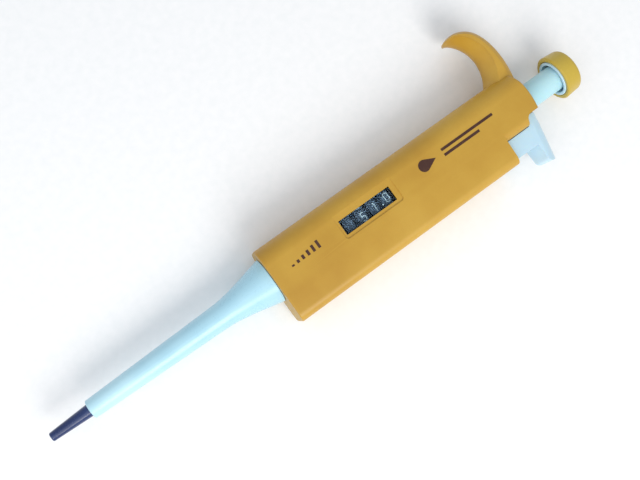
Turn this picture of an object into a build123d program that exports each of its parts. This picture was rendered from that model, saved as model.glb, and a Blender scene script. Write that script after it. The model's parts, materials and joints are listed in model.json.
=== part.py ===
"""Single-channel variable-volume pipette, lying on its flat back.

+X runs along the plunger axis from the nozzle's end to the push button, +Y is the finger hook's side,
and +Z is the front, with the counter window. A station is a distance along X from the nozzle's end.
Cross-section sizes are measured from the plunger axis.
"""

from build123d import *
from math import atan2, degrees
import os

# ---- driving dimensions (mm) ----
overall_length = 245.0
body_thickness = 24.0
hook_side = 12.5  # handle's side below the hook
ejector_side = -19.2  # handle's side below the ejector button
narrow_side = -9.4  # the same side above the shoulder
hook_reach = 37.8  # highest point of the hook
hook_back = 222.4  # its furthest station, within half a millimetre
pad_reach = -26.0  # outer end of the ejector's thumb pad
wall = 2.0
body_bottom = 97.3
shoulder = 201.2
body_top = 220.4
plunger_stroke = 12.5
ejector_stroke = 5.2
running_gap = 0.07

# ---- places worked out from them ----
half = body_thickness / 2
tip_x = -overall_length / 2
axis_y = -(hook_reach + pad_reach) / 2
axis_z = half
plunger_axis = Axis((tip_x, axis_y, axis_z), (1, 0, 0))
side_plane = Plane(origin=(tip_x, axis_y, axis_z), x_dir=(1, 0, 0), z_dir=(0, -1, 0))
mid_plane = Plane(origin=(0, 0, axis_z))
inner_bottom = body_bottom + 2.3
inner_top = body_top - 3.0
parts = {}


def across(station, y=0.0, z=0.0):
    """Plane square to the plunger axis; its x is +Y and its y is +Z."""
    return Plane(origin=(tip_x + station, axis_y + y, axis_z + z), x_dir=(0, 1, 0), z_dir=(1, 0, 0))


def plan(z):
    """Plane seen from the front at height z from the axis; its x is the station, its y is +Y."""
    return Plane(origin=(tip_x, axis_y, axis_z + z))


def half_section(points):
    """Closed half section from (station, radius) corners, to turn about the plunger axis."""
    with BuildSketch(side_plane) as section:
        with BuildLine():
            Polyline(*points, close=True)
        make_face()
    return section.sketch


def ring(station, outer, inner=0.0, y=0.0, z=0.0):
    """Disc, or a ring, square to the plunger axis."""
    with BuildSketch(across(station, y, z)) as section:
        Circle(outer)
        if inner:
            Circle(inner, mode=Mode.SUBTRACT)
    return section.sketch


def handle_section(station, low_side, inset=0.0):
    """Handle's cross-section, moved inwards by inset: flat back, crowned front, round hook side."""
    low, high = low_side + inset, hook_side - inset
    back, edge, crown = -half + inset, half - 1.0 - inset, half - inset
    with BuildSketch(across(station)) as section:
        with BuildLine():
            Polyline((low, edge), (low, back), (high, back), (high, edge))
            ThreePointArc((high, edge), ((low + high) / 2, crown), (low, edge))
        make_face()
        fillet(section.vertices().group_by(Axis.X)[-1].sort_by(Axis.Y)[-1], 8.0 - inset)
        fillet(section.vertices().group_by(Axis.Y)[0].sort_by(Axis.X)[-1], 6.0 - inset)
        fillet(section.vertices().group_by(Axis.X)[0], 3.6 - inset)
    return section.sketch


def hook_layer(z, outer, inner):
    """Finger hook's outline at height z, from points along its outer and then its inner edge."""
    with BuildSketch(plan(z)) as layer:
        with BuildLine():
            outer_edge = Spline(*outer)
            tip = Line(outer_edge @ 1, inner[0])
            inner_edge = Spline(tip @ 1, *inner[1:])
            Line(inner_edge @ 1, outer_edge @ 0)
        make_face()
    return layer.sketch


def gear_face(station, teeth, root, tip, root_half, tip_half, start, y=0.0, z=0.0):
    """Toothed wheel's outline: straight-sided teeth on a root circle, one pointing along start."""
    with BuildSketch(across(station, y, z)) as face:
        Circle(root)
        with PolarLocations(0, teeth, start_angle=start):
            Polygon(
                (root - 0.3, -root_half),
                (tip, -tip_half),
                (tip, tip_half),
                (root - 0.3, root_half),
                align=None,
            )
    return face.sketch


def coil(start, end, radius, wire, turns, y=0.0):
    """Compression spring between two stations, its wire just inside both ends."""
    height = end - start - wire - 0.1
    centre = (tip_x + start + wire / 2 + 0.05, axis_y + y, axis_z)
    with BuildPart() as spring:
        with BuildLine() as line:
            Helix(height / turns, height, radius - wire / 2, center=centre, direction=(1, 0, 0))
        with BuildSketch(Plane(origin=line.line @ 0, z_dir=line.line % 0)):
            Circle(wire / 2)
        sweep(path=line.line, is_frenet=True)
    return spring.part


# ---- handle: outside form, cavity and screw bosses, shared by both shells ----
hook_side_screws = [(121.0, 7.4), (179.0, 7.4)]
ejector_side_screws = [(121.0, -8.4), (179.0, -8.2)]
case_screw_places = hook_side_screws + ejector_side_screws + [(206.0, 8.2)]
boss_radius = 2.3
screw_clearance = 1.15
screw_head_hole = 2.0
screw_head_length = 1.8
screw_pilot = 0.9
top_bore_radius = 6.7

# ejector button, which the handle has a slot and a channel for
rod_y = -13.75
stem_low = -17.45
stem_high = -9.7
stem_middle = 1.2  # height of the button's middle above the plunger axis
stem_half_depth = 6.8
stem_bottom = 192.0
stem_gap = 0.25
knob_start = 213.6  # lower end of the knob, the part that reaches over the handle's side
knob_side = -5.9
knob_floor = 5.5
slot_start = stem_bottom - ejector_stroke - 1
slot_end = shoulder + 1
channel_start = knob_start - ejector_stroke - 0.5
channel_side = knob_side + 0.3
channel_floor = knob_floor - 0.3
channel_top = stem_middle + stem_half_depth + stem_gap
end_bow = 2.1  # how far the handle's upper end falls back at its sides

# hook's edges on its crest, below the crest, and at the parting plane
crest_height = 7.4
crest_outer = [(216.5, 2.0), (219.5, 13.0), (219.6, 24.0), (216.1, 33.2), (212.6, 35.6), (209.6, 36.6)]
crest_inner = [(209.5, 36.3), (212.9, 34.6), (217.2, 28.0), (218.0, 20.0), (215.6, 13.0), (208.0, 6.0)]
flank_height = 4.2
flank_outer = [(219.9, 2.0), (222.3, 12.0), (222.3, 24.3), (217.3, 35.0), (212.4, 37.2), (208.4, 36.7)]
flank_inner = [(208.6, 36.1), (212.6, 33.0), (215.5, 27.4), (215.9, 20.2), (212.8, 13.4), (204.0, 8.0)]
middle_outer = [
    (219.9, 2.0),
    (hook_back, 12.0),
    (hook_back, 24.5),
    (217.8, 35.4),
    (212.5, hook_reach - 0.06),
    (207.8, 36.9),
]
middle_inner = [(208.0, 35.8), (211.4, 32.4), (214.0, 27.4), (214.2, 20.0), (211.6, 13.6), (203.0, 9.0)]

with BuildPart() as hook:
    back_layers = [
        hook_layer(-crest_height, crest_outer, crest_inner),
        hook_layer(-flank_height, flank_outer, flank_inner),
    ]
    front_layers = [
        hook_layer(flank_height, flank_outer, flank_inner),
        hook_layer(crest_height, crest_outer, crest_inner),
    ]
    loft(back_layers + [hook_layer(0, middle_outer, middle_inner)] + front_layers)

with BuildPart() as handle:
    extrude(handle_section(body_bottom, ejector_side), amount=body_top + 1 - body_bottom)
    with BuildSketch(plan(-half - 1)) as silhouette:
        with BuildLine():
            Polyline(
                (body_bottom, 30),
                (body_bottom, ejector_side),
                (shoulder, ejector_side),
                (shoulder, narrow_side),
                (body_top + 1, narrow_side),
                (body_top + 1, 30),
                close=True,
            )
        make_face()
    extrude(amount=body_thickness + 2, mode=Mode.INTERSECT)
    narrow_edges = handle.faces().filter_by(Axis.Y).sort_by(Axis.Y)[1].edges().filter_by(Axis.X)
    fillet(narrow_edges.sort_by(Axis.Z)[-1], 3.2)
    narrow_edges = handle.faces().filter_by(Axis.Y).sort_by(Axis.Y)[1].edges().filter_by(Axis.X)
    fillet(narrow_edges.sort_by(Axis.Z)[0], 2.4)
    with BuildSketch(plan(-half - 1)) as bowed_end:
        with BuildLine():
            ThreePointArc((body_top - end_bow, narrow_side - 1), (body_top, 1.5), (body_top - end_bow, 13))
            Polyline(
                (body_top - end_bow, 13),
                (body_top - 10, 13),
                (body_top - 10, narrow_side - 1),
                (body_top - end_bow, narrow_side - 1),
            )
        make_face()
        with Locations((body_top - 9, 0)):
            Rectangle(200, 80, align=(Align.MAX, Align.CENTER))
    extrude(amount=body_thickness + 2, mode=Mode.INTERSECT)
    fillet(handle.faces().sort_by(Axis.X)[0].edges(), 0.5)
    fillet(handle.faces().sort_by(Axis.X)[-1].edges(), 1.0)
    add(hook.part)
    extrude(
        handle_section(inner_bottom, ejector_side, wall),
        amount=shoulder - wall - inner_bottom,
        mode=Mode.SUBTRACT,
    )
    top_bore = ring(shoulder - wall - 1, top_bore_radius)
    extrude(top_bore, amount=inner_top - shoulder + wall + 1, mode=Mode.SUBTRACT)
    with BuildSketch(across(slot_start, (stem_high + stem_low) / 2, stem_middle)):
        Rectangle(stem_high - stem_low + 2 * stem_gap, 2 * (stem_half_depth + stem_gap))
    extrude(amount=slot_end - slot_start, mode=Mode.SUBTRACT)
    with BuildSketch(plan(channel_floor)) as channel:
        with Locations((channel_start, channel_side)):
            Rectangle(body_top + 1 - channel_start, 6, align=(Align.MIN, Align.MAX))
    extrude(amount=channel_top - channel_floor, mode=Mode.SUBTRACT)
    with BuildSketch(plan(channel_floor)) as notch:
        with Locations((knob_start - 0.3, channel_side)):
            Rectangle(body_top + 1 - knob_start, 6, align=(Align.MIN, Align.MAX))
        fillet(notch.vertices().group_by(Axis.X)[0].sort_by(Axis.Y)[-1], 2.5)
    extrude(amount=half, mode=Mode.SUBTRACT)
    extrude(ring(body_bottom - 1, 8.85), amount=5, mode=Mode.SUBTRACT)
    extrude(ring(inner_top - 1, 6.2), amount=6, mode=Mode.SUBTRACT)
    for places, boss_top in ((hook_side_screws, 9.2), (ejector_side_screws, 10.3)):
        with BuildSketch(plan(-half + wall - 0.5)):
            with Locations(*places):
                Circle(boss_radius)
        extrude(amount=half - wall + 0.5 + boss_top)
    for start, radius, depth in (
        (-half - 1, screw_clearance, half + 1),
        (-half - 1, screw_head_hole, 1 + screw_head_length),
        (0, screw_pilot, 6.0),
    ):
        with BuildSketch(plan(start)):
            with Locations(*case_screw_places):
                Circle(radius)
        extrude(amount=depth, mode=Mode.SUBTRACT)

# ---- front shell with the counter window ----
window_start = 129.1
window_length = 23.4
window_low = -2.7
window_high = 3.3
bezel_start = 128.0
bezel_length = 26.8
bezel_low = -4.2
bezel_high = 6.4
bezel_depth = 0.4

with BuildPart() as front_shell:
    add(handle.part)
    split(bisect_by=mid_plane, keep=Keep.TOP)
    with BuildSketch(plan(half - bezel_depth)):
        with Locations((bezel_start + bezel_length / 2, (bezel_low + bezel_high) / 2)):
            RectangleRounded(bezel_length, bezel_high - bezel_low, 1.2)
    extrude(amount=3, mode=Mode.SUBTRACT)
    with BuildSketch(plan(half - 5)):
        with Locations((window_start + window_length / 2, (window_low + window_high) / 2)):
            Rectangle(window_length, window_high - window_low)
    extrude(amount=6, mode=Mode.SUBTRACT)
parts["front_shell"] = front_shell

with BuildPart() as rear_shell:
    add(handle.part)
    split(bisect_by=mid_plane, keep=Keep.BOTTOM)
parts["rear_shell"] = rear_shell

with BuildPart() as window_lens:
    with BuildSketch(plan(9.15)):
        with Locations((window_start + window_length / 2, (window_low + window_high) / 2)):
            Rectangle(window_length, window_high - window_low)
    extrude(amount=half - bezel_depth - 0.4 - 9.15)
parts["window_lens"] = window_lens

screw_head_radius = 1.9
screw_end = 2.2
screw_cross = (2.4, 0.55)

with BuildPart() as case_screws:
    with BuildSketch(plan(-half)):
        with Locations(*case_screw_places):
            Circle(screw_head_radius)
    extrude(amount=screw_head_length)
    with BuildSketch(plan(-half + screw_head_length)):
        with Locations(*case_screw_places):
            Circle(screw_pilot)
    extrude(amount=half - screw_head_length + screw_end)
    with BuildSketch(plan(-half)):
        with Locations(*case_screw_places):
            Rectangle(*screw_cross)
            Rectangle(*screw_cross[::-1])
    extrude(amount=0.8, mode=Mode.SUBTRACT)
parts["case_screws"] = case_screws

# ---- nozzle: tapered shaft, its bulkhead and nut, and the piston's seal ----
arm_start = 106.5
arm_thickness = 2.5
flange_start = 109.6
bulkhead_start = 110.6
bulkhead_thickness = 2.8
head_radius = 6.0
head_top = 117.2
chamber_floor = 94.0
piston_radius = 1.75

with BuildPart() as tip_shaft:
    revolve(
        half_section(
            [
                (0.0, 0.9),
                (0.0, 1.65),
                (0.3, 1.78),
                (16.5, 2.5),
                (74.0, 3.6),
                (88.0, 3.9),
                (95.0, head_radius),
                (flange_start, head_radius),
                (flange_start, 7.5),
                (bulkhead_start, 7.5),
                (bulkhead_start, head_radius),
                (head_top, head_radius),
                (head_top, 5.0),
                (chamber_floor, 5.0),
                (chamber_floor, piston_radius + 0.2),
                (30.0, piston_radius + 0.2),
                (28.5, 0.9),
            ]
        ),
        axis=plunger_axis,
    )
parts["tip_shaft"] = tip_shaft

with BuildPart() as nozzle_bulkhead:
    extrude(handle_section(bulkhead_start, ejector_side, wall), amount=bulkhead_thickness)
    extrude(ring(bulkhead_start, head_radius), amount=bulkhead_thickness, mode=Mode.SUBTRACT)
    extrude(ring(bulkhead_start, 1.6, y=rod_y), amount=bulkhead_thickness, mode=Mode.SUBTRACT)
parts["nozzle_bulkhead"] = nozzle_bulkhead

with BuildPart() as shaft_nut:
    with BuildSketch(across(bulkhead_start + bulkhead_thickness)):
        RegularPolygon(8.6, 6)
        Circle(head_radius, mode=Mode.SUBTRACT)
    extrude(amount=3.0)
    chamfer(shaft_nut.edges().filter_by(Axis.X), 0.4)
parts["shaft_nut"] = shaft_nut

with BuildPart() as piston_seal:
    extrude(ring(chamber_floor, 4.95, piston_radius), amount=3.0)
parts["piston_seal"] = piston_seal

with BuildPart() as seal_o_ring:
    with BuildSketch(side_plane):
        with Locations((chamber_floor + 4.0, 3.2)):
            Circle(0.95)
    revolve(axis=plunger_axis)
parts["seal_o_ring"] = seal_o_ring

with BuildPart() as seal_retainer:
    extrude(ring(chamber_floor + 5.0, 4.95, piston_radius + 0.25), amount=2.4)
parts["seal_retainer"] = seal_retainer

# ---- piston and its return spring ----
cap_low = 124.6
cap_top = 126.6
spring_seat = chamber_floor + 7.4

with BuildPart() as piston:
    extrude(ring(44.0, piston_radius - 0.05), amount=cap_low + 0.8 - 44.0)
    chamfer(piston.faces().sort_by(Axis.X)[0].edges(), 0.3)
parts["piston"] = piston

with BuildPart() as piston_cap:
    revolve(
        half_section(
            [
                (cap_low - 2.5, piston_radius - 0.05),
                (cap_low - 2.5, 3.2),
                (cap_low, 3.2),
                (cap_low, 4.7),
                (cap_top, 4.7),
                (cap_top, 0.0),
                (cap_low + 0.8, 0.0),
                (cap_low + 0.8, piston_radius - 0.05),
            ]
        ),
        axis=plunger_axis,
    )
parts["piston_cap"] = piston_cap
main_spring = coil(spring_seat, cap_low, 4.6, 0.8, 8)

# ---- counter: frame, axle, drums and carry pinions ----
drum_pitch = 5.75
drum_radius = 8.9
lock_radius = 7.3
first_drum = 129.35
sleeve_radius = 4.95
gear_teeth = 20
pinion_teeth = 8
gear_pitch_radius = 8.1
mesh_distance = gear_pitch_radius * (1 + pinion_teeth / gear_teeth)
axle_z = -5.9
axle_y = -(mesh_distance**2 - axle_z**2) ** 0.5
axle_angle = degrees(atan2(axle_z, axle_y))
axle_radius = 1.0
frame_low = 127.2
frame_high = first_drum + 4 * drum_pitch + 0.3
plate = 1.8

with BuildPart() as counter_frame:
    for station in (frame_low, frame_high):
        extrude(handle_section(station, ejector_side, wall), amount=plate)
    with BuildSketch(across(frame_low)):
        with Locations((hook_side - wall - 1.0, -1.0)):
            Rectangle(1.6, 8.0)
    extrude(amount=frame_high - frame_low)
    extrude(ring(frame_low, sleeve_radius + running_gap), amount=40, mode=Mode.SUBTRACT)
    extrude(ring(frame_low, 1.6, y=rod_y), amount=40, mode=Mode.SUBTRACT)
    extrude(ring(frame_low, axle_radius, y=axle_y, z=axle_z), amount=40, mode=Mode.SUBTRACT)
    extrude(ring(frame_low + plate, 9.3), amount=frame_high - frame_low - plate, mode=Mode.SUBTRACT)
parts["counter_frame"] = counter_frame

with BuildPart() as pinion_axle:
    extrude(ring(frame_low, axle_radius, y=axle_y, z=axle_z), amount=frame_high + plate - frame_low)
parts["pinion_axle"] = pinion_axle

drums = ["hundreds", "tens", "units", "tenths"]
for place, digit in enumerate(drums):
    start = first_drum + place * drum_pitch
    fixed = digit == "tenths"
    bore = sleeve_radius if fixed else sleeve_radius + running_gap
    with BuildPart() as drum:
        extrude(ring(start + 0.15, lock_radius, bore), amount=0.85)
        extrude(ring(start + 1.0, drum_radius, bore), amount=3.85)
        if fixed:
            extrude(ring(start + 4.85, lock_radius, bore), amount=0.85)
        else:
            teeth = gear_face(start + 4.85, gear_teeth, 7.35, 8.55, 0.5, 0.26, axle_angle)
            extrude(teeth, amount=0.85)
            extrude(ring(start + 4.85, bore), amount=0.85, mode=Mode.SUBTRACT)
    parts[f"{digit}_drum"] = drum

for place, digit in enumerate(drums[:-1]):
    start = first_drum + place * drum_pitch + 4.97
    phase = axle_angle + 180 + 180 / pinion_teeth
    with BuildPart() as pinion:
        teeth = gear_face(start, pinion_teeth, 2.45, 3.72, 0.62, 0.3, phase, axle_y, axle_z)
        extrude(teeth, amount=1.66)
        hole = ring(start, axle_radius + running_gap, y=axle_y, z=axle_z)
        extrude(hole, amount=1.66, mode=Mode.SUBTRACT)
    parts[f"{digit}_pinion"] = pinion

# ---- setting sleeve, its travelling stop and the upper bearing ----
upper_start = 182.0
upper_thickness = 3.0
sleeve_top = 186.4
thrust_start = frame_high + plate + 0.15
thread_start = 158.0
thread_end = 180.0
nut_start = 160.0
nut_length = 5.0
hex_half = 2.8
pin_radius = 1.25
pin_offset = 7.2

with BuildPart() as setting_sleeve:
    extrude(ring(frame_low - 0.1, sleeve_radius), amount=sleeve_top - frame_low + 0.1)
    extrude(ring(thrust_start, 5.8), amount=1.2)
    for turn in range(int(thread_end - thread_start)):
        groove = ring(thread_start + turn + 0.5, sleeve_radius + 1, sleeve_radius - 0.3)
        extrude(groove, amount=0.5, mode=Mode.SUBTRACT)
    with BuildSketch(across(frame_low - 1)):
        RegularPolygon(hex_half + 0.1, 6, major_radius=False)
    extrude(amount=sleeve_top - frame_low + 2, mode=Mode.SUBTRACT)
parts["setting_sleeve"] = setting_sleeve

with BuildPart() as upper_bulkhead:
    extrude(handle_section(upper_start, ejector_side, wall), amount=upper_thickness)
    extrude(ring(upper_start, sleeve_radius + running_gap), amount=upper_thickness, mode=Mode.SUBTRACT)
    with BuildSketch(across(upper_start, rod_y)):
        Circle(3.2)
    extrude(amount=upper_thickness, mode=Mode.SUBTRACT)
parts["upper_bulkhead"] = upper_bulkhead

with BuildPart() as guide_pins:
    for side in (-1, 1):
        pin = ring(frame_high + plate, pin_radius, z=side * pin_offset)
        extrude(pin, amount=upper_start - frame_high - plate)
parts["guide_pins"] = guide_pins

with BuildPart() as range_stop_nut:
    extrude(ring(nut_start, 9.0, sleeve_radius + running_gap), amount=nut_length)
    for side in (-1, 1):
        hole = ring(nut_start, pin_radius + running_gap, z=side * pin_offset)
        extrude(hole, amount=nut_length, mode=Mode.SUBTRACT)
parts["range_stop_nut"] = range_stop_nut

# ---- blow-out stop ----
cage_start = upper_start + upper_thickness
cage_top = 195.6
plate_low = 192.7
plate_top = 194.3
blow_out_travel = 2.3

with BuildPart() as blow_out_cage:
    revolve(
        half_section(
            [
                (cage_start, 7.45),
                (cage_top, 7.45),
                (cage_top, 5.6),
                (plate_top + 0.2, 5.6),
                (plate_top + 0.2, 6.7),
                (cage_start, 6.7),
            ]
        ),
        axis=plunger_axis,
    )
parts["blow_out_cage"] = blow_out_cage

with BuildPart() as blow_out_plate:
    extrude(ring(plate_low, 6.5, 3.5), amount=plate_top - plate_low)
parts["blow_out_plate"] = blow_out_plate
blow_out_spring = coil(cage_start + 0.1, plate_low, 6.4, 1.0, 3)

# ---- plunger: hexagonal drive shaft, white rod, button ----
rod_radius = 5.2
rod_low = plate_top + plunger_stroke - blow_out_travel + 0.2
button_low = 237.3
button_radius = 9.4
ring_outer = 7.5
button_floor = 242.6

with BuildPart() as drive_shaft:
    with BuildSketch(across(cap_top + 0.05)):
        RegularPolygon(hex_half, 6, major_radius=False)
    extrude(amount=rod_low + 22 - cap_top)
    chamfer(drive_shaft.faces().sort_by(Axis.X)[0].edges(), 0.3)
parts["drive_shaft"] = drive_shaft

with BuildPart() as plunger_rod:
    extrude(ring(rod_low, rod_radius), amount=button_floor - rod_low)
    with BuildSketch(across(rod_low)):
        RegularPolygon(hex_half, 6, major_radius=False)
    extrude(amount=22.05, mode=Mode.SUBTRACT)
    groove = ring(214.0, rod_radius + 1, rod_radius - 0.8)
    extrude(groove, amount=1.0, mode=Mode.SUBTRACT)
parts["plunger_rod"] = plunger_rod

with BuildPart() as rod_circlip:
    with BuildSketch(across(214.0)):
        Circle(top_bore_radius - 0.2)
        Circle(rod_radius - 0.8, mode=Mode.SUBTRACT)
        with Locations((0, 6)):
            Rectangle(3.2, 6, mode=Mode.SUBTRACT)
    extrude(amount=1.0)
parts["rod_circlip"] = rod_circlip

with BuildPart() as top_bush:
    extrude(ring(inner_top - 1.8, top_bore_radius - 0.05, rod_radius + running_gap), amount=1.8)
    extrude(ring(inner_top, 6.2, rod_radius + running_gap), amount=body_top - inner_top - 1.0)
parts["top_bush"] = top_bush

with BuildPart() as button_cap:
    with BuildSketch(side_plane) as cup:
        with BuildLine():
            Polyline(
                (button_low + 0.5, ring_outer),
                (button_low, ring_outer + 0.5),
                (button_low, button_radius - 0.5),
                (button_low + 0.5, button_radius),
                (overall_length - 1.6, button_radius - 0.5),
            )
            ThreePointArc(
                (overall_length - 1.6, button_radius - 0.5),
                (overall_length - 0.55, button_radius - 1.05),
                (overall_length - 0.1, button_radius - 2.1),
            )
            Line((overall_length - 0.1, button_radius - 2.1), (overall_length, 0))
            Polyline(
                (overall_length, 0),
                (button_floor, 0),
                (button_floor, ring_outer),
                (button_low + 0.5, ring_outer),
            )
        make_face()
    revolve(axis=plunger_axis)
parts["button_cap"] = button_cap

with BuildPart() as button_ring:
    extrude(ring(button_low - 0.35, ring_outer, 6.3), amount=button_floor - button_low - 0.65)
    extrude(ring(button_floor - 1.0, ring_outer, rod_radius), amount=1.0)
    fillet(button_ring.faces().sort_by(Axis.X)[0].edges(), 0.35)
parts["button_ring"] = button_ring

# ---- ejector: thumb button, rod, arm, sleeve and return spring ----
guide_start = 172.0
guide_length = 3.0
ejector_rod_radius = 1.5
collar_radius = 8.5
collar_top = 109.1

pad_inner = 212.4
pad_low = 212.8
pad_high = 217.4
knob_high = 221.0
dome_radius = 7.2
dome_lean = (3.2, 16.3)  # the dome's top line leans towards the cap as it nears the handle
dome_centre = (211.45, -18.6)

with BuildPart() as ejector_button:
    with BuildSketch(plan(stem_middle - stem_half_depth)) as button_outline:
        with BuildLine():
            Polyline(
                (stem_bottom, stem_high),
                (stem_bottom, stem_low),
                (pad_inner, stem_low),
                (pad_low, pad_reach),
                (pad_high, pad_reach),
                (knob_high, knob_side),
                (knob_start, knob_side),
                (knob_start, stem_high),
                close=True,
            )
        make_face()
        fillet(button_outline.vertices().group_by(Axis.Y)[0], 2.3)
        fillet(button_outline.vertices().group_by(Axis.Y)[-1], 2.3)
    extrude(amount=2 * stem_half_depth)
    dome_plane = Plane(
        origin=(tip_x + dome_centre[0], axis_y + dome_centre[1], axis_z + stem_middle),
        x_dir=(dome_lean[1], -dome_lean[0], 0),
        z_dir=(*dome_lean, 0),
    )
    with BuildSketch(dome_plane):
        Circle(dome_radius)
        Rectangle(40, 3 * stem_half_depth, align=(Align.MAX, Align.CENTER))
    extrude(amount=30, both=True, mode=Mode.INTERSECT)
    with BuildSketch(across(pad_inner - 1, narrow_side - 0.3, knob_floor)):
        Rectangle(10, 30, align=(Align.MIN, Align.MAX))
    extrude(amount=20, mode=Mode.SUBTRACT)
    extrude(ring(stem_bottom, ejector_rod_radius, y=rod_y), amount=5, mode=Mode.SUBTRACT)
parts["ejector_button"] = ejector_button

with BuildPart() as ejector_rod:
    extrude(ring(arm_start, ejector_rod_radius, y=rod_y), amount=stem_bottom + 5 - arm_start)
parts["ejector_rod"] = ejector_rod

with BuildPart() as ejector_guide:
    with BuildSketch(across(guide_start)):
        with Locations((rod_y, 0)):
            Rectangle(5.8, 12)
            Circle(ejector_rod_radius + running_gap, mode=Mode.SUBTRACT)
    extrude(amount=guide_length)
parts["ejector_guide"] = ejector_guide
ejector_spring = coil(guide_start + guide_length, stem_bottom, 2.7, 0.6, 8, rod_y)

with BuildPart() as ejector_arm:
    with BuildSketch(across(arm_start)):
        Circle(9.6)
        with Locations((rod_y / 2, 0)):
            Rectangle(-rod_y, 5.6)
        with Locations((rod_y, 0)):
            Circle(2.8)
            Circle(ejector_rod_radius, mode=Mode.SUBTRACT)
        Circle(collar_radius, mode=Mode.SUBTRACT)
    extrude(amount=arm_thickness)
parts["ejector_arm"] = ejector_arm

with BuildPart() as rod_clip:
    with BuildSketch(across(arm_start + arm_thickness, rod_y)):
        Circle(2.7)
        Circle(ejector_rod_radius, mode=Mode.SUBTRACT)
        with Locations((-2, 0)):
            Rectangle(3, 1.6, mode=Mode.SUBTRACT)
    extrude(amount=0.8)
parts["rod_clip"] = rod_clip

flare_end = body_bottom - 0.25
with BuildPart() as ejector_sleeve:
    with BuildSketch(side_plane):
        with BuildLine():
            Polyline((16.5, 2.75), (16.5, 3.5), (16.75, 3.75), (73.0, 5.1))
            Spline((73.0, 5.1), (80.0, 5.75), (flare_end, 9.45), tangents=[(57, 1.35), (17.3, 3.9)])
            Polyline(
                (flare_end, 9.45),
                (flare_end, collar_radius),
                (collar_top, collar_radius),
                (collar_top, 7.7),
                (flare_end - 0.5, 7.7),
                (80.0, 4.6),
                (73.0, 4.0),
                (16.5, 2.75),
            )
        make_face()
    revolve(axis=plunger_axis)
parts["ejector_sleeve"] = ejector_sleeve

# ---- write every piece ----
solids = {name: piece.part for name, piece in parts.items()}
solids["main_spring"] = main_spring
solids["blow_out_spring"] = blow_out_spring
solids["ejector_spring"] = ejector_spring
os.makedirs("parts", exist_ok=True)
for name, piece in solids.items():
    piece.label = name
    export_step(piece, f"parts/{name}.step")
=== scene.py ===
"""Looks of the single-channel pipette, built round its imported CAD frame. Metres, in the CAD frame."""

import json
import math

import bmesh
import bpy
from mathutils import Matrix, Vector


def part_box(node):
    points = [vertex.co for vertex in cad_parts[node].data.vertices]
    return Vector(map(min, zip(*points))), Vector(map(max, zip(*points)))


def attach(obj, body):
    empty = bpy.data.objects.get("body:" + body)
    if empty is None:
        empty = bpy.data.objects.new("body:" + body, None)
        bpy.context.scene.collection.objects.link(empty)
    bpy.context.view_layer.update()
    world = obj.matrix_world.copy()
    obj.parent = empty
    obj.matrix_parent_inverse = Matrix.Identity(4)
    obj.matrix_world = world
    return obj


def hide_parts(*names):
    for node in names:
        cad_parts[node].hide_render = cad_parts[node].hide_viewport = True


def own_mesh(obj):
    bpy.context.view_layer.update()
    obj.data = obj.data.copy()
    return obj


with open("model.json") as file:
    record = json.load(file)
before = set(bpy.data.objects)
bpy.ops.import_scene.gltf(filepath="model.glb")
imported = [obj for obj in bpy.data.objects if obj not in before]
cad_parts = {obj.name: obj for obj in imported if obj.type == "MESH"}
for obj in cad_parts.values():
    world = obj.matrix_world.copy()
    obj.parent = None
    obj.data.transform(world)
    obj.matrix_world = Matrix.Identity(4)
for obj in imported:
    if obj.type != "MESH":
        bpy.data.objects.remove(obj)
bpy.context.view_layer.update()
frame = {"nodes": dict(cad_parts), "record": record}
MM = 0.001

# ---------------------------------------------------------------- places taken from the frame
rod_low, rod_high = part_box("plunger_rod")
shaft_low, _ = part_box("tip_shaft")
_, shell_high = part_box("front_shell")
rear_low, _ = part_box("rear_shell")
AXIS_Y = (rod_low.y + rod_high.y) / 2
AXIS_Z = (rod_low.z + rod_high.z) / 2
TIP_X = shaft_low.x
FRONT_Z = shell_high.z


def at(station, y=0.0, z=0.0):
    """Point from a station along the plunger axis and offsets from that axis, all in mm."""
    return Vector((TIP_X + station * MM, AXIS_Y + y * MM, AXIS_Z + z * MM))


# ---------------------------------------------------------------- material helpers
def new_material(name):
    material = bpy.data.materials.new(name)
    material.use_nodes = True
    tree = material.node_tree
    tree.nodes.clear()
    out = tree.nodes.new("ShaderNodeOutputMaterial")
    shader = tree.nodes.new("ShaderNodeBsdfPrincipled")
    tree.links.new(shader.outputs[0], out.inputs[0])
    return material, tree, shader


def node(tree, kind, inputs=None, **settings):
    made = tree.nodes.new(kind)
    for key, value in settings.items():
        setattr(made, key, value)
    for key, value in (inputs or {}).items():
        made.inputs[key].default_value = value
    return made


def position(tree, scale=(1.0, 1.0, 1.0)):
    """Object coordinates, which lie in the row frame, times a scale for each axis."""
    coord = node(tree, "ShaderNodeTexCoord")
    mapping = node(tree, "ShaderNodeMapping", {"Scale": scale})
    tree.links.new(coord.outputs["Object"], mapping.inputs["Vector"])
    return mapping.outputs[0]


def noise(tree, vector, scale, detail=4.0, roughness=0.55):
    made = node(tree, "ShaderNodeTexNoise", {"Scale": scale, "Detail": detail, "Roughness": roughness})
    tree.links.new(vector, made.inputs["Vector"])
    return made.outputs[0]


def ramp(tree, value, stops):
    """Colour ramp from (position, colour) stops."""
    made = node(tree, "ShaderNodeValToRGB")
    while len(made.color_ramp.elements) < len(stops):
        made.color_ramp.elements.new(0.5)
    for element, (place, colour) in zip(made.color_ramp.elements, stops):
        element.position = place
        element.color = (*colour, 1.0)
    tree.links.new(value, made.inputs[0])
    return made.outputs[0]


def spread(tree, value, low, high, out_low, out_high):
    """Value from low..high mapped to out_low..out_high."""
    inputs = {"From Min": low, "From Max": high, "To Min": out_low, "To Max": out_high}
    made = node(tree, "ShaderNodeMapRange", inputs)
    tree.links.new(value, made.inputs["Value"])
    return made.outputs[0]


def maths(tree, operation, first, second):
    made = node(tree, "ShaderNodeMath", operation=operation)
    for socket, value in zip(made.inputs, (first, second)):
        if isinstance(value, (int, float)):
            socket.default_value = value
        else:
            tree.links.new(value, socket)
    return made.outputs[0]


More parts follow.
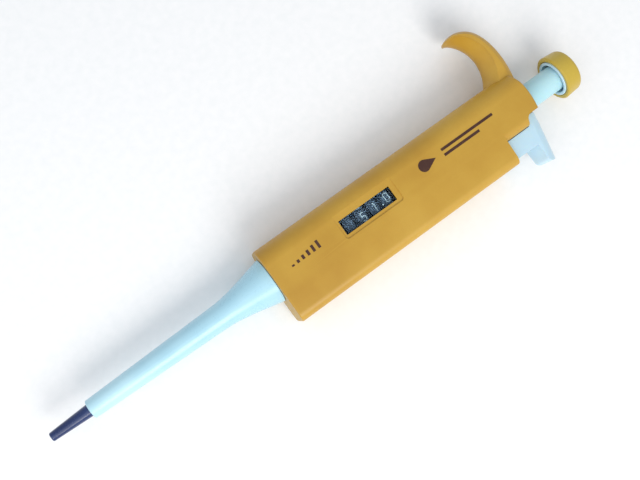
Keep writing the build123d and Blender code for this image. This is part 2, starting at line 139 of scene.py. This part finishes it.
def mix(tree, share, first, second, blend="MIX"):
    made = node(tree, "ShaderNodeMix", data_type="RGBA", blend_type=blend)
    for key, value in ((0, share), (6, first), (7, second)):
        if isinstance(value, (int, float)):
            made.inputs[key].default_value = value
        elif isinstance(value, tuple):
            made.inputs[key].default_value = (*value, 1.0)
        else:
            tree.links.new(value, made.inputs[key])
    return made.outputs[2]


def bump(tree, shader, height, strength, distance, under=None):
    made = node(tree, "ShaderNodeBump", {"Strength": strength, "Distance": distance})
    tree.links.new(height, made.inputs["Height"])
    if under is not None:
        tree.links.new(under, made.inputs["Normal"])
    tree.links.new(made.outputs[0], shader.inputs["Normal"])
    return made.outputs[0]


def painted_edge_highlight(tree, low=0.52, high=0.62):
    """Painted highlight on convex edges: 0..1, rising towards convex edges."""
    geometry = node(tree, "ShaderNodeNewGeometry")
    return spread(tree, geometry.outputs["Pointiness"], low, high, 0.0, 1.0)


def moulded_plastic(name, colour, deep, light, roughness, grain=0.00002, coat=0.0, sub=0.0):
    """Injection-moulded plastic: cloudy colour, fine spark-eroded grain, a painted highlight on convex edges,
    and specks.
    """
    material, tree, shader = new_material(name)
    coords = position(tree)
    cloud = noise(tree, coords, 28.0, 5.0)
    fine = noise(tree, coords, 900.0, 3.0, 0.7)
    speck = noise(tree, coords, 2600.0, 2.0, 0.6)
    base = ramp(tree, cloud, [(0.3, deep), (0.5, colour), (0.72, light)])
    grained = mix(tree, spread(tree, fine, 0.35, 0.75, 0.0, 0.16), base, deep)
    # painted highlight: convex edges take the material's lighter tone
    edged = mix(tree, maths(tree, "MULTIPLY", painted_edge_highlight(tree), 0.35), grained, light)
    tree.links.new(edged, shader.inputs["Base Color"])
    rough = maths(
        tree,
        "ADD",
        spread(tree, cloud, 0.3, 0.7, roughness - 0.05, roughness + 0.06),
        spread(tree, fine, 0.3, 0.7, -0.03, 0.04),
    )
    tree.links.new(rough, shader.inputs["Roughness"])
    shader.inputs["IOR"].default_value = 1.5
    if coat:
        shader.inputs["Coat Weight"].default_value = coat
        shader.inputs["Coat Roughness"].default_value = 0.12
    if sub:
        shader.inputs["Subsurface Weight"].default_value = sub
        shader.inputs["Subsurface Radius"].default_value = (0.003, 0.002, 0.001)
        shader.inputs["Subsurface Scale"].default_value = 1.0
    first = bump(tree, shader, cloud, 0.12, 0.0002)
    bump(tree, shader, maths(tree, "ADD", fine, maths(tree, "MULTIPLY", speck, 0.5)), 0.5, grain, first)
    return material


def metal(name, colour, dark, roughness, stretch):
    """Turned or ground metal: fine marks along one direction, patches of duller surface."""
    material, tree, shader = new_material(name)
    marks = noise(tree, position(tree, stretch), 260.0, 6.0, 0.65)
    patch = noise(tree, position(tree), 90.0, 4.0)
    base = mix(tree, spread(tree, marks, 0.35, 0.7, 0.0, 0.55), colour, dark)
    dulled = mix(tree, spread(tree, patch, 0.45, 0.75, 0.0, 0.3), base, dark)
    tree.links.new(dulled, shader.inputs["Base Color"])
    shader.inputs["Metallic"].default_value = 1.0
    rough = maths(tree, "ADD", roughness, spread(tree, marks, 0.3, 0.7, -0.06, 0.12))
    tree.links.new(rough, shader.inputs["Roughness"])
    bump(tree, shader, marks, 0.25, 0.00002)
    return material


def soft_rubber():
    material, tree, shader = new_material("black_rubber")
    coords = position(tree)
    dust = noise(tree, coords, 500.0, 4.0)
    tree.links.new(
        mix(tree, spread(tree, dust, 0.45, 0.8, 0.0, 0.5), (0.012, 0.012, 0.013), (0.05, 0.05, 0.05)),
        shader.inputs["Base Color"],
    )
    tree.links.new(spread(tree, dust, 0.3, 0.7, 0.55, 0.8), shader.inputs["Roughness"])
    bump(tree, shader, noise(tree, coords, 1500.0, 3.0), 0.4, 0.00003)
    return material


def clear_lens():
    """Clear moulded window: faint blue, polished, with hairline scratches."""
    material, tree, shader = new_material("clear_lens")
    scratches = noise(tree, position(tree, (0.15, 3.0, 1.0)), 700.0, 4.0, 0.7)
    tint = noise(tree, position(tree), 60.0, 3.0)
    tree.links.new(
        ramp(tree, tint, [(0.3, (0.88, 0.95, 0.98)), (0.7, (0.95, 0.98, 1.0))]), shader.inputs["Base Color"]
    )
    shader.inputs["Transmission Weight"].default_value = 1.0
    shader.inputs["IOR"].default_value = 1.15
    tree.links.new(spread(tree, scratches, 0.45, 0.8, 0.0, 0.03), shader.inputs["Roughness"])
    bump(tree, shader, scratches, 0.02, 0.000005)
    return material


# ---------------------------------------------------------------- materials of the CAD nodes
YELLOW = (0.50, 0.285, 0.030)
YELLOW_DEEP = (0.43, 0.225, 0.020)
YELLOW_LIGHT = (0.56, 0.34, 0.044)

materials = {
    "handle_yellow": moulded_plastic("handle_yellow", YELLOW, YELLOW_DEEP, YELLOW_LIGHT, 0.42, sub=0.05),
    "button_yellow": moulded_plastic(
        "button_yellow", (0.48, 0.33, 0.030), (0.40, 0.26, 0.020), (0.56, 0.40, 0.05), 0.36, coat=0.1
    ),
    "white_plastic": moulded_plastic(
        "white_plastic", (0.46, 0.67, 0.80), (0.39, 0.60, 0.75), (0.54, 0.74, 0.86), 0.3, coat=0.15, sub=0.1
    ),
    "white_sleeve": moulded_plastic(
        "white_sleeve", (0.42, 0.68, 0.80), (0.35, 0.62, 0.76), (0.50, 0.75, 0.85), 0.3, coat=0.12
    ),
    "white_rod": moulded_plastic(
        "white_rod", (0.38, 0.66, 0.75), (0.31, 0.59, 0.70), (0.47, 0.73, 0.80), 0.34, coat=0.1, sub=0.1
    ),
    "navy_plastic": moulded_plastic(
        "navy_plastic", (0.004, 0.022, 0.110), (0.003, 0.014, 0.078), (0.010, 0.040, 0.160), 0.26, coat=0.3
    ),
    "dark_drum": moulded_plastic(
        "dark_drum", (0.085, 0.135, 0.200), (0.065, 0.110, 0.170), (0.110, 0.165, 0.235), 0.5, 0.000008
    ),
    "inner_plastic": moulded_plastic(
        "inner_plastic", (0.30, 0.32, 0.33), (0.24, 0.26, 0.27), (0.38, 0.40, 0.41), 0.45
    ),
    "ptfe": moulded_plastic("ptfe", (0.80, 0.80, 0.78), (0.72, 0.72, 0.70), (0.86, 0.86, 0.84), 0.4, sub=0.2),
    "bright_steel": metal("bright_steel", (0.62, 0.62, 0.63), (0.40, 0.41, 0.43), 0.24, (0.1, 3.0, 3.0)),
    "spring_steel": metal("spring_steel", (0.56, 0.57, 0.59), (0.34, 0.35, 0.37), 0.2, (1.0, 1.0, 1.0)),
    "brass": metal("brass", (0.66, 0.45, 0.17), (0.46, 0.30, 0.10), 0.28, (4.0, 0.4, 0.4)),
    "black_rubber": soft_rubber(),
    "clear_lens": clear_lens(),
}
slots = {row["node"]: row["material_slot"] for row in frame["record"]["subparts"]}
for name, piece in frame["nodes"].items():
    piece.data.materials.clear()
    piece.data.materials.append(materials[slots[name]])


# ---------------------------------------------------------------- pieces made here
def add_piece(name, mesh, material, body):
    piece = bpy.data.objects.new(name, mesh)
    bpy.context.scene.collection.objects.link(piece)
    piece.data.materials.append(material)
    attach(piece, body)
    return piece


INK_SUNK = 0.005
INK_TOP = 0.03


def printed(name, outlines, place, material, body):
    """Thin ink: each flat (u, v) outline becomes a raised patch, set on a surface by place(u, v, height)."""
    shape = bmesh.new()
    for outline in outlines:
        low = [shape.verts.new(place(u, v, INK_SUNK)) for u, v in outline]
        high = [shape.verts.new(place(u, v, INK_TOP)) for u, v in outline]
        shape.faces.new(high)
        shape.faces.new(low[::-1])
        for k in range(len(outline)):
            n = (k + 1) % len(outline)
            shape.faces.new((low[k], low[n], high[n], high[k]))
    bmesh.ops.recalc_face_normals(shape, faces=shape.faces)
    mesh = bpy.data.meshes.new(name)
    shape.to_mesh(mesh)
    shape.free()
    return add_piece(name, mesh, material, body)


LONGEST_QUAD = 0.4
MITRE_LIMIT = 0.3


def stroke(points, width):
    """Quads along a line of (u, v) points, mitred at its corners and short enough to follow a drum."""
    corners, points = points, points[:1]
    for a, b in zip(corners, corners[1:]):
        parts = max(1, math.ceil(math.dist(a, b) / LONGEST_QUAD))
        for k in range(1, parts + 1):
            points = points + [(a[0] + (b[0] - a[0]) * k / parts, a[1] + (b[1] - a[1]) * k / parts)]
    offsets = []
    for k, point in enumerate(points):
        ends = [points[max(k - 1, 0)], points[min(k + 1, len(points) - 1)]]
        normals = []
        for start, end in ((ends[0], point), (point, ends[1])):
            run = math.dist(start, end)
            if run:
                normals.append(((start[1] - end[1]) / run, (end[0] - start[0]) / run))
        mean = [sum(values) / len(normals) for values in zip(*normals)]
        grow = width / 2 / max(mean[0] ** 2 + mean[1] ** 2, MITRE_LIMIT)
        offsets.append((mean[0] * grow, mean[1] * grow))
    quads = []
    for (p, a), (q, b) in zip(list(zip(points, offsets)), list(zip(points, offsets))[1:]):
        quads.append(
            [
                (p[0] + a[0], p[1] + a[1]),
                (q[0] + b[0], q[1] + b[1]),
                (q[0] - b[0], q[1] - b[1]),
                (p[0] - a[0], p[1] - a[1]),
            ]
        )
    return quads


def arc(centre, radii, start, end, steps=10):
    """Points on an ellipse, between two angles in degrees."""
    angles = [math.radians(start + (end - start) * k / steps) for k in range(steps + 1)]
    return [(centre[0] + radii[0] * math.cos(a), centre[1] + radii[1] * math.sin(a)) for a in angles]


# digits in a cell 2 wide and 4 high, centred, as lines
DIGITS = {
    0: [arc((0, 0.95), (0.82, 0.9), 0, 180) + arc((0, -0.95), (0.82, 0.9), 180, 360) + [(0.82, 0.95)]],
    1: [[(-0.5, 1.3), (0.12, 1.85), (0.12, -1.85)]],
    2: [arc((0, 0.95), (0.82, 0.9), 165, -35) + [(-0.82, -1.75), (0.85, -1.75)]],
    3: [arc((0, 0.95), (0.75, 0.88), 160, -85) + arc((0, -0.9), (0.82, 0.95), 85, -160)],
    4: [[(0.35, -1.85), (0.35, 1.8), (-0.82, -0.75), (0.88, -0.75)]],
    5: [[(0.75, 1.75), (-0.6, 1.75), (-0.72, 0.25)] + arc((0, -0.7), (0.82, 1.1), 130, -150)],
    6: [[(0.6, 1.75), (-0.55, 0.3)] + arc((0, -0.8), (0.82, 1.0), 170, -190, 16)],
    7: [[(-0.82, 1.75), (0.8, 1.75), (-0.25, -1.85)]],
    8: [arc((0, 0.95), (0.68, 0.85), -90, 270, 14), arc((0, -0.9), (0.84, 0.95), 90, 450, 14)],
    9: [[(-0.6, -1.75), (0.55, -0.3)] + arc((0, 0.8), (0.82, 1.0), -10, 350, 16)],
}
DRUM_RADIUS = (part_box("units_drum")[1].z - AXIS_Z) / MM
DRUM_RIM = 0.85
DIGIT_SIDE = 2.55
DIGIT_LINE = 0.34
DIGIT_PITCH = 36


def number_drum(drum, body, labels, lean):
    """Digits round a drum, one each tenth of a turn. The first is lean degrees from the front."""
    low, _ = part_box(drum)
    station = (low.x - TIP_X) / MM + DRUM_RIM + DIGIT_SIDE

    for place, digit in enumerate(labels):
        middle = math.radians(lean + DIGIT_PITCH * place)

        def onto(u, v, height, middle=middle):
            angle = middle + v / DRUM_RADIUS
            radius = DRUM_RADIUS + height
            return at(station + u, radius * math.sin(angle), radius * math.cos(angle))

        quads = [quad for line in DIGITS[digit] for quad in stroke(line, DIGIT_LINE)]
        printed(f"{drum}_{place}", quads, onto, ink_pale, body)


def coil_spring(node_name, start, end, radius, wire, turns, y=0.0):
    """Wire coil in place of the CAD one, fixed to the handle."""
    sides, per_turn = 10, 36
    steps = turns * per_turn
    end_gap = 0.05
    first, last = start + wire / 2 + end_gap, end - wire / 2 - end_gap
    shape = bmesh.new()
    rings = []
    for k in range(steps + 1):
        angle = 2 * math.pi * k / per_turn
        station = first + (last - first) * k / steps
        out = Vector((0, math.cos(angle), math.sin(angle)))
        ring = []
        for j in range(sides):
            turn = 2 * math.pi * j / sides
            reach = radius - wire / 2 + wire / 2 * math.cos(turn)
            centre = at(station + wire / 2 * math.sin(turn), y)
            ring.append(shape.verts.new(centre + out * reach * MM))
        rings.append(ring)
    for a, b in zip(rings, rings[1:]):
        for j in range(sides):
            n = (j + 1) % sides
            shape.faces.new((a[j], a[n], b[n], b[j])).smooth = True
    shape.faces.new(rings[0][::-1])
    shape.faces.new(rings[-1])
    bmesh.ops.recalc_face_normals(shape, faces=shape.faces)
    mesh = bpy.data.meshes.new(f"{node_name}_coil")
    shape.to_mesh(mesh)
    shape.free()
    piece = add_piece(f"{node_name}_coil", mesh, materials["spring_steel"], "handle")
    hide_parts(node_name)
    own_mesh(piece)


def ink(name, colour, worn, roughness):
    """Printed ink, thin in places where fingers have rubbed it."""
    material, tree, shader = new_material(name)
    coords = position(tree)
    patch = noise(tree, coords, 400.0, 4.0)
    rubbed = mix(tree, spread(tree, patch, 0.5, 0.75, 0.0, 0.5), colour, worn)
    tree.links.new(rubbed, shader.inputs["Base Color"])
    tree.links.new(spread(tree, patch, 0.3, 0.7, roughness, roughness + 0.15), shader.inputs["Roughness"])
    bump(tree, shader, noise(tree, coords, 1800.0, 2.0), 0.3, 0.00001)
    return material


ink_pale = ink("ink_pale", (0.72, 0.90, 0.97), (0.58, 0.76, 0.84), 0.45)
ink_brown = ink("ink_brown", (0.050, 0.013, 0.006), (0.11, 0.045, 0.012), 0.4)

number_drum("tens_drum", "tens", [5, 6, 7, 8, 9, 0, 1, 2, 3, 4], -4.8)
number_drum("units_drum", "units", [1, 2, 3, 4, 5, 6, 7, 8, 9, 0], -1.6)
number_drum("tenths_drum", "setting", [0, 5, 0, 5, 0, 5, 0, 5, 0, 5], 1.9)

# the decimal point, printed on the back of the lens
LENS_BACK = (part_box("window_lens")[0].z - AXIS_Z) / MM
POINT_STATION = 147.4
POINT_Y = -1.3
POINT_RADIUS = 0.34
POINT_GAP = 0.04
printed(
    "decimal_point",
    [arc((POINT_STATION, POINT_Y), (POINT_RADIUS, POINT_RADIUS), 0, 330, 11)],
    lambda u, v, height: at(u, v, LENS_BACK - POINT_GAP + height),
    ink_pale,
    "handle",
)

# the front's crown: a wide arc whose top is midway between the handle's sides
HOOK_SIDE = 12.5
CROWN_MIDDLE = ((rear_low.y - AXIS_Y) / MM + HOOK_SIDE) / 2
CROWN_RADIUS = 126.1
CROWN_TOP = (FRONT_Z - AXIS_Z) / MM


def on_front(u, v, height):
    drop = CROWN_RADIUS - math.sqrt(CROWN_RADIUS**2 - (v - CROWN_MIDDLE) ** 2)
    return at(u, v, CROWN_TOP - drop + height)


def rising_bars(station, y, count, pitch, width, low, step):
    """Row of bars, each taller than the one before: a plain sign for the volume range."""
    bars = []
    for k in range(count):
        left = station + k * pitch
        top = y + low + step * k
        bars.append([(left, y), (left + width, y), (left + width, top), (left, top)])
    return bars


def droplet(station, y, size):
    """Drop of liquid, pointing towards the push button's end."""
    round_end = arc((0, 0), (size / 2, size / 2), 60, 300, 18)
    points = round_end + [(size * 1.15, 0)]
    return [[(station + u, y + v) for u, v in points]]


def long_bars(station, top_bar_y, lengths, pitch, thickness):
    """Bars one below the other, in place of lettering."""
    bars = []
    for line, length in enumerate(lengths):
        low, end = top_bar_y - line * pitch, station + length
        bars.append([(station, low), (end, low), (end, low + thickness), (station, low + thickness)])
    return bars


volume_bars = rising_bars(station=105.5, y=-0.6, count=6, pitch=2.4, width=1.1, low=0.7, step=0.5)
printed("range_mark", volume_bars, on_front, ink_brown, "handle")
plain_mark = droplet(station=168.5, y=1.6, size=4.8)
plain_mark += long_bars(station=177.5, top_bar_y=2.2, lengths=(25.0, 17.0), pitch=2.3, thickness=1.1)
printed("front_mark", plain_mark, on_front, ink_brown, "handle")

coil_spring("main_spring", 101.4, 124.6, 4.6, 0.8, 8)
coil_spring("blow_out_spring", 185.1, 192.7, 6.4, 1.0, 3)
coil_spring("ejector_spring", 175.0, 192.0, 2.7, 0.6, 8, -13.75)


# ---------------------------------------------------------------- stage, light and camera
def pale_floor():
    size = 1.6
    mesh = bpy.data.meshes.new("floor")
    corners = [(-size, -size, 0), (size, -size, 0), (size, size, 0), (-size, size, 0)]
    mesh.from_pydata(corners, [], [(0, 1, 2, 3)])
    floor = bpy.data.objects.new("floor", mesh)
    bpy.context.scene.collection.objects.link(floor)
    material, tree, shader = new_material("pale_floor")
    fleck = noise(tree, position(tree), 300.0, 4.0)
    shade = ramp(tree, fleck, [(0.3, (0.86, 0.87, 0.88)), (0.7, (0.90, 0.90, 0.91))])
    tree.links.new(shade, shader.inputs["Base Color"])
    shader.inputs["Roughness"].default_value = 0.9
    floor.data.materials.append(material)


def area_light(name, place, target, size, power, colour=(1, 1, 1)):
    data = bpy.data.lights.new(name, "AREA")
    data.shape = "DISK"
    data.size = size
    data.energy = power
    data.color = colour
    lamp = bpy.data.objects.new(name, data)
    lamp.location = place
    lamp.rotation_euler = (Vector(target) - Vector(place)).to_track_quat("-Z", "Y").to_euler()
    bpy.context.scene.collection.objects.link(lamp)


def studio():
    pale_floor()
    area_light("key", (-0.10, -0.62, 0.60), (0, 0, 0), 0.55, 4.8, (1.0, 0.97, 0.92))
    area_light("fill", (-0.55, -0.1, 0.7), (0, 0, 0), 0.9, 1.9, (0.92, 0.97, 1.0))
    world = bpy.data.worlds.new("studio")
    world.use_nodes = True
    background = world.node_tree.nodes["Background"]
    background.inputs[0].default_value = (0.93, 0.96, 1.0, 1)
    background.inputs[1].default_value = 0.66
    bpy.context.scene.world = world


CAMERA_STATION = 71.1
CAMERA_HEIGHT = 318.0
CAMERA_SIDE = 1.7
CAMERA_TILT = math.radians(9.0)
CAMERA_ROLL = math.radians(35.53)
CAMERA_LENS = 47.3


def camera():
    """Close view from the front: tilted towards the button and rolled so that the pipette lies diagonally."""
    forward = Vector((math.sin(CAMERA_TILT), 0, -math.cos(CAMERA_TILT)))
    along = Vector((math.cos(CAMERA_TILT), 0, math.sin(CAMERA_TILT)))
    side = Vector((0, 1, 0))
    right = along * math.cos(CAMERA_ROLL) - side * math.sin(CAMERA_ROLL)
    up = along * math.sin(CAMERA_ROLL) + side * math.cos(CAMERA_ROLL)
    data = bpy.data.cameras.new("camera")
    data.lens = CAMERA_LENS
    data.sensor_width = 36.0
    data.clip_start = 0.01
    data.dof.use_dof = False
    view = bpy.data.objects.new("camera", data)
    turn = Matrix((right, up, -forward)).transposed().to_4x4()
    view.matrix_world = Matrix.Translation(at(CAMERA_STATION, CAMERA_SIDE, CAMERA_HEIGHT)) @ turn
    bpy.context.scene.collection.objects.link(view)
    bpy.context.scene.camera = view


studio()
camera()
bpy.context.scene.view_settings.view_transform = "Standard"
